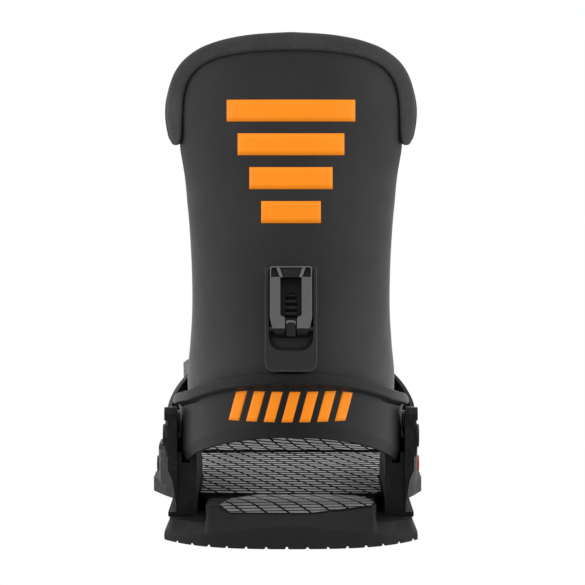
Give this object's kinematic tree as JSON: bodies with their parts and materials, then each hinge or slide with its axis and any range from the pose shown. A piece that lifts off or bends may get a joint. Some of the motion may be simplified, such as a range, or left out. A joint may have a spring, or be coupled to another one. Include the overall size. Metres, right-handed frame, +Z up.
{
  "type": "snowboard binding",
  "caption": "Strap snowboard binding with folding highback, heel cup, buckled ankle and toe straps, cushioned footbed and a round mounting disc for the board screws.",
  "frame": {"origin": "centre of the mounting disc on the plane of the board's top sheet", "axes": "+Z up from the board, +Y towards the toe, +X towards the ladder-free side of the straps"},
  "size_m": [0.155, 0.257, 0.2604],
  "materials": {
    "rubber": "matte moulded",
    "shell_plastic": "fine satin",
    "gloss_plastic": "gloss",
    "cushion": "knit over foam",
    "alloy": "satin black",
    "steel": "dark zinc",
    "red_trim": "matte"
  },
  "bodies": {
    "disc": {"mount_disc": "shell_plastic"},
    "base": {"baseplate": "shell_plastic", "rear_pad": "rubber", "front_pad": "rubber", "heel_footpad": "rubber", "main_footbed": "rubber", "heel_cup": "shell_plastic", "heel_cup_bolt_l": "steel", "heel_cup_bolt_r": "steel", "heel_cup_nut_l": "steel", "heel_cup_nut_r": "steel", "highback_bolt_l": "steel", "highback_bolt_r": "steel", "highback_nut_l": "steel", "highback_nut_r": "steel", "ankle_bolt_l": "steel", "ankle_bolt_r": "steel", "ankle_nut_l": "steel", "ankle_nut_r": "steel", "toe_bolt_l": "steel", "toe_bolt_r": "red_trim", "toe_nut_l": "steel", "toe_nut_r": "steel", "ramp_bolt_l": "steel", "ramp_bolt_r": "steel", "ramp_nut_l": "steel", "ramp_nut_r": "steel"},
    "toe_ramp": {"toe_ramp": "shell_plastic", "toe_ramp_pad": "rubber"},
    "highback": {"highback_shell": "shell_plastic", "highback_rim": "rubber", "highback_pad": "cushion", "lean_rack": "gloss_plastic"},
    "lean_slider": {"lean_block": "shell_plastic", "lean_pin": "steel", "lean_spring": "steel"},
    "lean_lever": {"lean_lever": "gloss_plastic"},
    "ankle_strap": {"ankle_pad": "cushion", "ankle_shell": "shell_plastic", "ankle_link": "shell_plastic", "ankle_ladder": "gloss_plastic", "ankle_buckle": "alloy", "ankle_lever_pin": "steel", "ankle_release_pin": "steel", "ankle_rivet_a": "steel", "ankle_rivet_b": "steel"},
    "ankle_lever": {"ankle_lever": "alloy"},
    "ankle_release": {"ankle_release": "alloy"},
    "toe_strap": {"toe_pad": "cushion", "toe_shell": "shell_plastic", "toe_link": "shell_plastic", "toe_ladder": "gloss_plastic", "toe_buckle": "alloy", "toe_lever_pin": "steel", "toe_release_pin": "steel", "toe_rivet_a": "steel", "toe_rivet_b": "steel"},
    "toe_lever": {"toe_lever": "alloy"},
    "toe_release": {"toe_release": "alloy"}
  },
  "joints": [
    {"name": "stance_angle", "type": "hinge", "parent": "disc", "child": "base", "pos_m": [0, 0, 0], "axis": [0, 0, 1], "range_deg": [-30, 30]},
    {"name": "toe_ramp_slide", "type": "slide", "parent": "base", "child": "toe_ramp", "axis": [0, 1, 0], "range_m": [0, 0.012]},
    {"name": "highback_fold", "type": "hinge", "parent": "base", "child": "highback", "pos_m": [0, -0.068, 0.058], "axis": [-1, 0, 0], "range_deg": [0, 68]},
    {"name": "lean_adjust", "type": "slide", "parent": "highback", "child": "lean_slider", "axis": [0, 0.1719, 0.9851], "range_m": [0, 0.024]},
    {"name": "lean_lever_flip", "type": "hinge", "parent": "lean_slider", "child": "lean_lever", "pos_m": [0, -0.12597, 0.11235], "axis": [1, 0, 0], "range_deg": [0, 88]},
    {"name": "ankle_strap_pivot", "type": "hinge", "parent": "base", "child": "ankle_strap", "pos_m": [0, -0.053, 0.0485], "axis": [-1, 0, 0], "range_deg": [-30, 6]},
    {"name": "ankle_ratchet", "type": "hinge", "parent": "ankle_strap", "child": "ankle_lever", "pos_m": [-0.03626, 0.02895, 0.07833], "axis": [0, 0.342, -0.9397], "range_deg": [0, 60], "stiffness_Nm_per_rad": 0.01, "springref_deg": -28.65},
    {"name": "ankle_release", "type": "hinge", "parent": "ankle_strap", "child": "ankle_release", "pos_m": [-0.02013, 0.03675, 0.08116], "axis": [0, -0.342, 0.9397], "range_deg": [0, 22], "stiffness_Nm_per_rad": 0.01, "springref_deg": -28.65},
    {"name": "toe_strap_pivot", "type": "hinge", "parent": "base", "child": "toe_strap", "pos_m": [0, 0.034, 0.0195], "axis": [-1, 0, 0], "range_deg": [-20, 12]},
    {"name": "toe_ratchet", "type": "hinge", "parent": "toe_strap", "child": "toe_lever", "pos_m": [-0.03453, 0.08462, 0.07192], "axis": [0, 0.7193, -0.6947], "range_deg": [0, 60], "stiffness_Nm_per_rad": 0.01, "springref_deg": -28.65},
    {"name": "toe_release", "type": "hinge", "parent": "toe_strap", "child": "toe_release", "pos_m": [-0.019, 0.08906, 0.07652], "axis": [0, -0.7193, 0.6947], "range_deg": [0, 22], "stiffness_Nm_per_rad": 0.01, "springref_deg": -28.65}
  ]
}
